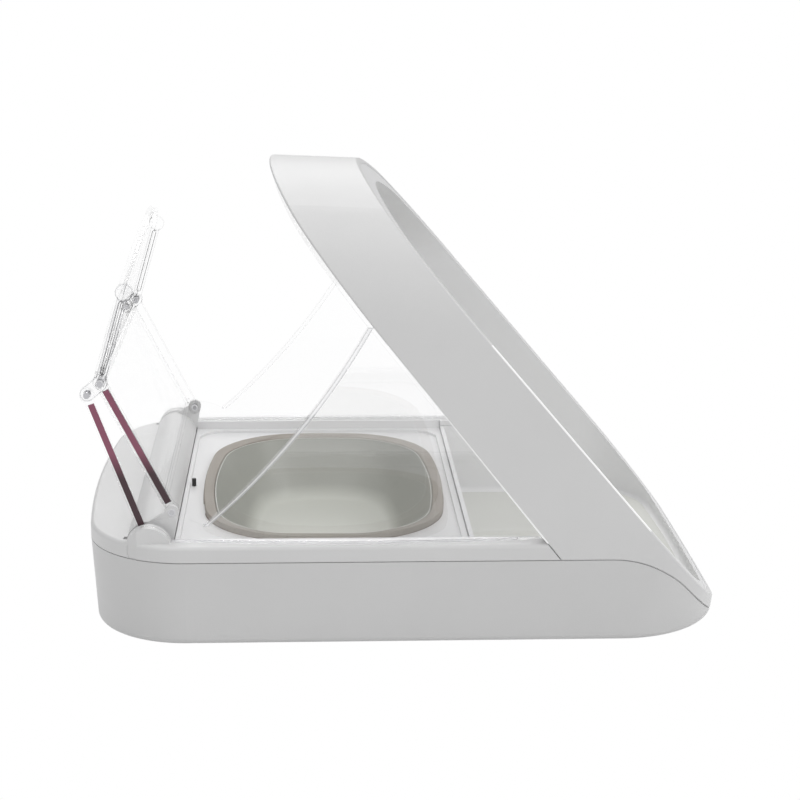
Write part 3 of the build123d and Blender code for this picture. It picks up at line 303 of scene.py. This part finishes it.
def piece_from(shape, piece_name, *materials):
    """Makes an object of an edited mesh."""
    mesh = bpy.data.meshes.new(piece_name)
    shape.to_mesh(mesh)
    shape.free()
    for material in materials:
        mesh.materials.append(material)
    piece = bpy.data.objects.new(piece_name, mesh)
    scene.collection.objects.link(piece)
    return piece


def frozen(piece):
    """Turns a piece with a modifier into a plain mesh and takes the modifier off."""
    depsgraph = bpy.context.evaluated_depsgraph_get()
    mesh = bpy.data.meshes.new_from_object(piece.evaluated_get(depsgraph), depsgraph=depsgraph)
    piece.modifiers.clear()
    piece.data = mesh
    return piece


def beaded(piece, sharp_angle, radius, material):
    """Beads a piece's sharp edges and freezes the result."""
    modifier = piece.modifiers.new("beads", "NODES")
    modifier.node_group = edge_tree
    modifier[sharp_id] = math.radians(sharp_angle)
    modifier[thick_id] = radius
    modifier[paint_id] = material
    return frozen(piece)


# %% Beads on the clear pieces
# painted highlight: pale beads on the clear pieces' edges stand for the glint of light on them
edge_glint_finish, tree, shader = new_finish("painted_edge_glint", (0.90, 0.90, 0.92), 0.15, IOR=1.49)
shader.inputs["Alpha"].default_value = 0.07
vary_colour(tree, shader, (0.90, 0.90, 0.92), 0.06, 120.0)
bead_radius = 0.2 * mm
bead_angle = 38                # degrees between two faces; gentler edges get no bead
clear_bodies = {"rear_cover": "body", "lid_rear_panel": "rear_panel", "lid_front_panel": "front_panel"}
wing_low_z = 52 * mm           # below this the cover lies on the deck's rail
wing_top_z = 153.6 * mm        # above this the cover is only a collar behind the hood
wing_inner_x = 104 * mm
for name, body in clear_bodies.items():
    shape = merged_shape(name)
    if name == "rear_cover":
        plain = [v for v in shape.verts
                 if not wing_low_z < v.co.z < wing_top_z or abs(v.co.x) < wing_inner_x]
        bmesh.ops.delete(shape, geom=plain, context="VERTS")
    beads = beaded(piece_from(shape, name + "_edges"), bead_angle, bead_radius, edge_glint_finish)
    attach(beads, body)
    print(beads.name, len(beads.data.polygons), "faces")

# %% [markdown]
# ## Painted edge shade and highlights on faces that show from outside
# The arms' and wings' outer faces are copied with a grey border, a painted shade line, and a paler core, a
# painted highlight. So the near side shows a grey line with a bright core, while the far side, seen from
# within, stays clear. A copy of those faces is inset, which gives the border its own finish, and all of them
# show on their front only. The core's faint glow is painted light, standing for the light that the sheet
# carries to its edge.

# %% Bevelled faces


def outward_finish(name, colour, solid, glow):
    """A thin finish that is seen from its front only, with a painted glow of a given strength."""
    material, tree, shader = new_finish(name, colour, 0.2, IOR=1.49)
    side = tree.nodes.new("ShaderNodeNewGeometry")
    share = tree.nodes.new("ShaderNodeMapRange")
    share.inputs["To Min"].default_value = solid
    share.inputs["To Max"].default_value = 0.0
    tree.links.new(side.outputs["Backfacing"], share.inputs["Value"])
    tree.links.new(share.outputs["Result"], shader.inputs["Alpha"])
    shader.inputs["Emission Color"].default_value = (1.0, 1.0, 1.0, 1.0)
    shader.inputs["Emission Strength"].default_value = glow
    vary_colour(tree, shader, colour, 0.05, 150.0)
    return material


# painted shade and highlight: a grey border line and pale glowing cores on the clear faces
painted_shade_border = outward_finish("painted_shade_border", (0.70, 0.70, 0.73), 0.5, 0.0)
painted_glow_core = outward_finish("painted_glow_core", (0.88, 0.88, 0.90), 0.5, 0.25)
faint_painted_glow_core = outward_finish("faint_painted_glow_core", (0.92, 0.92, 0.94), 0.12, 0.25)


def outer_faces(node_name, piece_name, body, wanted, border, core):
    """Copies the faces of a node that a test picks, a hair further out, with a border of their own."""
    shape = merged_shape(node_name)
    bmesh.ops.delete(shape, geom=[f for f in shape.faces if not wanted(f)], context="FACES")
    lift = {v: v.co + v.link_faces[0].normal * 0.05 * mm for v in shape.verts if v.link_faces}
    for vertex, place in lift.items():
        vertex.co = place
    bmesh.ops.inset_region(shape, faces=shape.faces[:], thickness=border,
                           use_even_offset=True, use_boundary=True)
    rim = {f for f in shape.faces if any(e.is_boundary for e in f.edges)}
    for face in shape.faces:
        face.material_index = 0 if face in rim else 1
    piece = piece_from(shape, piece_name, painted_shade_border, core)
    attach(piece, body)
    print(piece_name, len(piece.data.polygons), "faces")
    return piece


wing_face_x = 107.4 * mm
arm_face_x = 98.1 * mm
foot_top_z = 51.5 * mm


def on_side(least_x):
    """A test for faces that look sideways and lie beyond a distance from the middle."""
    return lambda face: abs(face.normal.x) > 0.99 and abs(face.calc_center_median().x) > least_x


def foot_top(face):
    """A test for the upper face of the strips that lie along the rails."""
    return face.normal.z > 0.99 and abs(face.calc_center_median().z - foot_top_z) < 0.2 * mm


outer_faces("rear_cover", "wing_painted_edges", "body", on_side(wing_face_x), 0.5 * mm, painted_glow_core)
outer_faces("rear_cover", "wing_foot_painted_edges", "body", foot_top, 0.6 * mm, painted_glow_core)
outer_faces("lid_front_panel", "arm_painted_edges", "front_panel", on_side(arm_face_x), 0.35 * mm, faint_painted_glow_core)

# %% [markdown]
# ## The bowl's rim
# The soft rim slopes down to the bowl all the way round, so its far side looks tall and its near side
# thin. The measured rim has a flat top, so a copy of it takes its place with the top's inner edge
# lowered. How far a point is from the outer edge is read from a search tree of that edge.

# %% The bowl's rim
rim_fall = 1.4 * mm            # from the outer edge of the top to its inner edge
rim_width = 5.5 * mm
shape = merged_shape("bowl_rim")
low_z = min(v.co.z for v in shape.verts)
top_z = max(v.co.z for v in shape.verts)
bottom_edge = [e for e in shape.edges if all(abs(v.co.z - low_z) < 0.05 * mm for v in e.verts)]
samples = 12                   # on each straight piece of the lower edge
points = [e.verts[0].co.lerp(e.verts[1].co, i / samples) for e in bottom_edge for i in range(samples)]
middle_y = sum(p.y for p in points) / len(points)


def heading(point):
    """The direction of a point from the bowl's middle, in steps of two degrees."""
    return round(math.degrees(math.atan2(point.y - middle_y, point.x)) / 2)


def distance(point):
    """How far a point is from the bowl's middle."""
    return math.hypot(point.x, point.y - middle_y)


reach_of = {}
for point in points:
    reach_of[heading(point)] = max(reach_of.get(heading(point), 0.0), distance(point))
outer = [p for p in points if distance(p) > reach_of[heading(p)] - 1.0 * mm]
search = kdtree.KDTree(len(outer))
for index, point in enumerate(outer):
    search.insert((point.x, point.y, 0.0), index)
search.balance()
lip_depth = 1.2 * mm           # the vertices this close to the top belong to it
for vertex in shape.verts:
    if vertex.co.z > top_z - lip_depth:
        inward = search.find((vertex.co.x, vertex.co.y, 0.0))[2]
        vertex.co.z -= rim_fall * min(inward / rim_width, 1.0)
sloped_rim = piece_from(shape, "sloped_bowl_rim", rim_taupe)
for polygon in sloped_rim.data.polygons:
    polygon.use_smooth = False
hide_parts("bowl_rim")
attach(sloped_rim, "body")
print("rim", len(outer), "outer samples", len(sloped_rim.data.polygons), "faces")

# %% [markdown]
# ## Lines round the bowl
# A pale line runs round the bowl just inside its rim, and a dark brown line, a painted shadow, runs where
# the rim's outer edge meets the tray. Both follow edges that the measured pieces already have, so the bead
# tree makes them: only the wanted edges are kept, and every one of them gets a bead.

# %% Lines round the bowl
foot_gap = 11 * mm             # a hood bead stops this far above its wall's foot


def edge_line(node_name, piece_name, wanted, radius, material, body="body", wall_middle=None):
    """Keeps the edges of a node that a test picks and turns them into one bead.

    With the middle of a side wall given, the bead lies just outside the wall's outline, flush with its side,
    and stops above the deck, where the wall's own joint line begins.
    """
    shape = merged_shape(node_name)
    loose = [e for e in shape.edges if not wanted(e)]
    bmesh.ops.delete(shape, geom=loose, context="EDGES")
    if wall_middle is not None:
        moves = {}
        for edge in shape.edges:
            run = (edge.verts[1].co - edge.verts[0].co).normalized()
            away = edge.verts[0].co - wall_middle
            away.x = 0.0
            away = (away - run * away.dot(run)).normalized() * radius
            away.x = -math.copysign(radius, edge.verts[0].co.x)
            lower, upper = sorted(edge.verts, key=lambda vertex: vertex.co.z)
            moves[upper] = away
            moves[lower] = away + (upper.co - lower.co).normalized() * foot_gap
        for vertex, away in moves.items():
            vertex.co += away
    piece = beaded(piece_from(shape, piece_name), -1, radius, material)
    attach(piece, body)
    print(piece_name, len(piece.data.polygons), "faces")


bowl_top_z = max(v.co.z for v in nodes["bowl"].data.vertices)


def bowl_inner_edge(edge):
    """A test for the edge where the bowl's flat lip turns down into its wall."""
    level_edge = all(abs(v.co.z - bowl_top_z) < 0.05 * mm for v in edge.verts)
    return level_edge and len(edge.link_faces) == 2 and any(f.normal.z < 0.9 for f in edge.link_faces) \
        and any((f.normal.x * f.calc_center_median().x < -1e-6 or
                 f.normal.y * (f.calc_center_median().y - middle_y) < -1e-6) and f.normal.z > 0.1
                for f in edge.link_faces)


pale_line = moulded("pale_line", (0.78, 0.78, 0.74), 0.35, grain=0.05)
edge_line("bowl", "bowl_lip_line", bowl_inner_edge, 0.18 * mm, pale_line)

# painted shadow: a dark brown line under the rim's outer edge
painted_rim_shadow = moulded("painted_rim_shadow", (0.20, 0.155, 0.125), 0.6, grain=0.1)


def rim_foot_edge(edge):
    """A test for the outer edge of the rim, where it meets the tray."""
    low = all(abs(v.co.z - low_z) < 0.05 * mm for v in edge.verts)
    return low and all(search.find((v.co.x, v.co.y, 0.0))[2] < 0.3 * mm for v in edge.verts)


edge_line("bowl_rim", "rim_shadow_line", rim_foot_edge, 0.3 * mm, painted_rim_shadow)

# %% [markdown]
# ## Rings on the lid's pins
# The heads of the hinge and fold pins show as small bright rings. A bead on the round edges at the ends
# of each pin gives them.

# %% Rings on the lid's pins


def pin_end(edge):
    """A test for the round ends of a pin."""
    level_x = all(abs(v.co.x - edge.verts[0].co.x) < 0.01 * mm for v in edge.verts)
    return level_x and len(edge.link_faces) == 2


pin_white = moulded("pin_white", (0.85, 0.85, 0.87), 0.25, grain=0.03)
for node_name, body in (("lid_hinge_pins", "body"), ("lid_fold_pins", "rear_panel")):
    edge_line(node_name, node_name + "_rings", pin_end, 0.4 * mm, pin_white, body)

# %% [markdown]
# ## Seal and painted highlights on the hood's edges
# A soft white seal closes the gap between the liner's flange and the hood, and the long edges of the hood's
# side walls get crisp white lines, a painted highlight. They are beads on the edges that the pieces have.
# The walls' beads lie just outside the wall, which would hide them otherwise, and glow a little, which is
# painted light.

# %% Seal and bright edges of the hood
opening_angle = math.radians(49.4)     # the hood's front plane, from level
opening_out = Vector((0.0, -math.sin(opening_angle), math.cos(opening_angle)))
opening_middle = Vector((0.0, -60 * mm, 110 * mm))
flange_reach = max(v.co.dot(opening_out) for v in nodes["hood_liner"].data.vertices)


def flange_outer_edge(edge):
    """A test for the outer edge of the liner's flange, on the hood's front plane."""
    on_plane = all(v.co.dot(opening_out) > flange_reach - 0.1 * mm for v in edge.verts)
    sideways = [f for f in edge.link_faces if abs(f.normal.dot(opening_out)) < 0.9]
    away = any(f.normal.dot(f.calc_center_median() - opening_middle) > 0 for f in sideways)
    return on_plane and len(edge.link_faces) == 2 and away


edge_line("hood_liner", "flange_seal", flange_outer_edge, 0.42 * mm, liner_white)


hood_wall_x = 114 * mm


def hood_wall_edge(edge):
    """A test for the long front and rear edges of the hood's side walls."""
    run = edge.verts[0].co - edge.verts[1].co
    outside = any(abs(f.normal.x) > 0.99 and abs(f.calc_center_median().x) > hood_wall_x
                  for f in edge.link_faces)
    return outside and run.length > 40 * mm and abs(run.z) > 0.3 * run.length


# painted highlight: white lines with a faint glow along the hood walls' long edges
painted_edge_highlight = moulded("painted_edge_highlight", (0.93, 0.93, 0.93), 0.15, grain=0.02, Emission_Strength=0.3,
                      Emission_Color=(1.0, 1.0, 1.0, 1.0))
edge_line("hood_outer", "hood_edge_highlights", hood_wall_edge, 0.5 * mm, painted_edge_highlight,
          wall_middle=Vector((0.0, -72.3 * mm, 77.9 * mm)))

# %% [markdown]
# ## Floor, backdrop and light
# The photograph is cut out on pure white. The floor and the world look white to the camera through Light
# Path's Is Camera Ray, and the lamps stay at a plain level, so the white housing keeps its greys. The floor
# is clear from below, so the underside with its battery doors can be looked at.

# %% Floor, backdrop and light


def paper_white(name):
    """White to the camera and in reflections, plain and diffuse to the rest, and clear from below."""
    material = bpy.data.materials.new(name)
    material.use_nodes = True
    tree = material.node_tree
    tree.nodes.clear()
    output = tree.nodes.new("ShaderNodeOutputMaterial")
    path = tree.nodes.new("ShaderNodeLightPath")
    glow = tree.nodes.new("ShaderNodeEmission")
    glow.inputs["Color"].default_value = (1.0, 1.0, 1.0, 1.0)
    plain = tree.nodes.new("ShaderNodeBsdfDiffuse")
    plain.inputs["Color"].default_value = (0.8, 0.8, 0.8, 1.0)
    most = tree.nodes.new("ShaderNodeMath")
    most.operation = "MAXIMUM"
    either = tree.nodes.new("ShaderNodeMath")
    either.operation = "MAXIMUM"
    mix = tree.nodes.new("ShaderNodeMixShader")
    tree.links.new(path.outputs["Is Camera Ray"], either.inputs[0])
    tree.links.new(path.outputs["Is Glossy Ray"], either.inputs[1])
    tree.links.new(either.outputs[0], most.inputs[0])
    tree.links.new(path.outputs["Is Transmission Ray"], most.inputs[1])
    tree.links.new(most.outputs[0], mix.inputs["Fac"])
    tree.links.new(plain.outputs["BSDF"], mix.inputs[1])
    tree.links.new(glow.outputs["Emission"], mix.inputs[2])
    side = tree.nodes.new("ShaderNodeNewGeometry")
    clear = tree.nodes.new("ShaderNodeBsdfTransparent")
    one_way = tree.nodes.new("ShaderNodeMixShader")
    tree.links.new(side.outputs["Backfacing"], one_way.inputs["Fac"])
    tree.links.new(mix.outputs["Shader"], one_way.inputs[1])
    tree.links.new(clear.outputs["BSDF"], one_way.inputs[2])
    tree.links.new(one_way.outputs["Shader"], output.inputs["Surface"])
    return material


floor_mesh = bpy.data.meshes.new("floor")
reach = 6.0
corners = [(-reach, -reach, 0), (reach, -reach, 0), (reach, reach, 0), (-reach, reach, 0)]
floor_mesh.from_pydata(corners, [], [(0, 1, 2, 3)])
floor = bpy.data.objects.new("floor", floor_mesh)
floor.location.z = -0.2 * mm           # just under the feet
scene.collection.objects.link(floor)
floor.data.materials.append(paper_white("paper_white"))

world = bpy.data.worlds.new("studio")
scene.world = world
world.use_nodes = True
tree = world.node_tree
tree.nodes.clear()
output = tree.nodes.new("ShaderNodeOutputWorld")
path = tree.nodes.new("ShaderNodeLightPath")
seen = tree.nodes.new("ShaderNodeBackground")
seen.inputs["Color"].default_value = (1.0, 1.0, 1.0, 1.0)
seen.inputs["Strength"].default_value = 1.0
fill = tree.nodes.new("ShaderNodeBackground")
fill.inputs["Color"].default_value = (1.0, 1.0, 1.0, 1.0)
fill.inputs["Strength"].default_value = 0.41
mix = tree.nodes.new("ShaderNodeMixShader")
both = tree.nodes.new("ShaderNodeMath")
both.operation = "MAXIMUM"
tree.links.new(path.outputs["Is Camera Ray"], both.inputs[0])
tree.links.new(path.outputs["Is Transmission Ray"], both.inputs[1])
tree.links.new(both.outputs[0], mix.inputs["Fac"])
tree.links.new(fill.outputs["Background"], mix.inputs[1])
tree.links.new(seen.outputs["Background"], mix.inputs[2])
tree.links.new(mix.outputs["Shader"], output.inputs["Surface"])


def lamp(name, place, size, power, target=(0.0, 0.0, 0.08)):
    """A square soft lamp aimed at the feeder."""
    data = bpy.data.lights.new(name, "AREA")
    data.energy = power
    data.size = size
    lamp_object = bpy.data.objects.new(name, data)
    scene.collection.objects.link(lamp_object)
    lamp_object.location = place
    lamp_object.rotation_euler = (Vector(target) - Vector(place)).to_track_quat("-Z", "Y").to_euler()


lamp("overhead", (0.2, 0.2, 2.6), 2.2, 15.5)
lamp("left_soft", (-2.2, 0.9, 2.0), 1.6, 8.5)
lamp("front_soft", (-1.3, -2.0, 1.9), 1.6, 20.0)
lamp("right_soft", (1.9, 0.1, 1.4), 1.4, 10.0)

scene.view_settings.view_transform = "Standard"
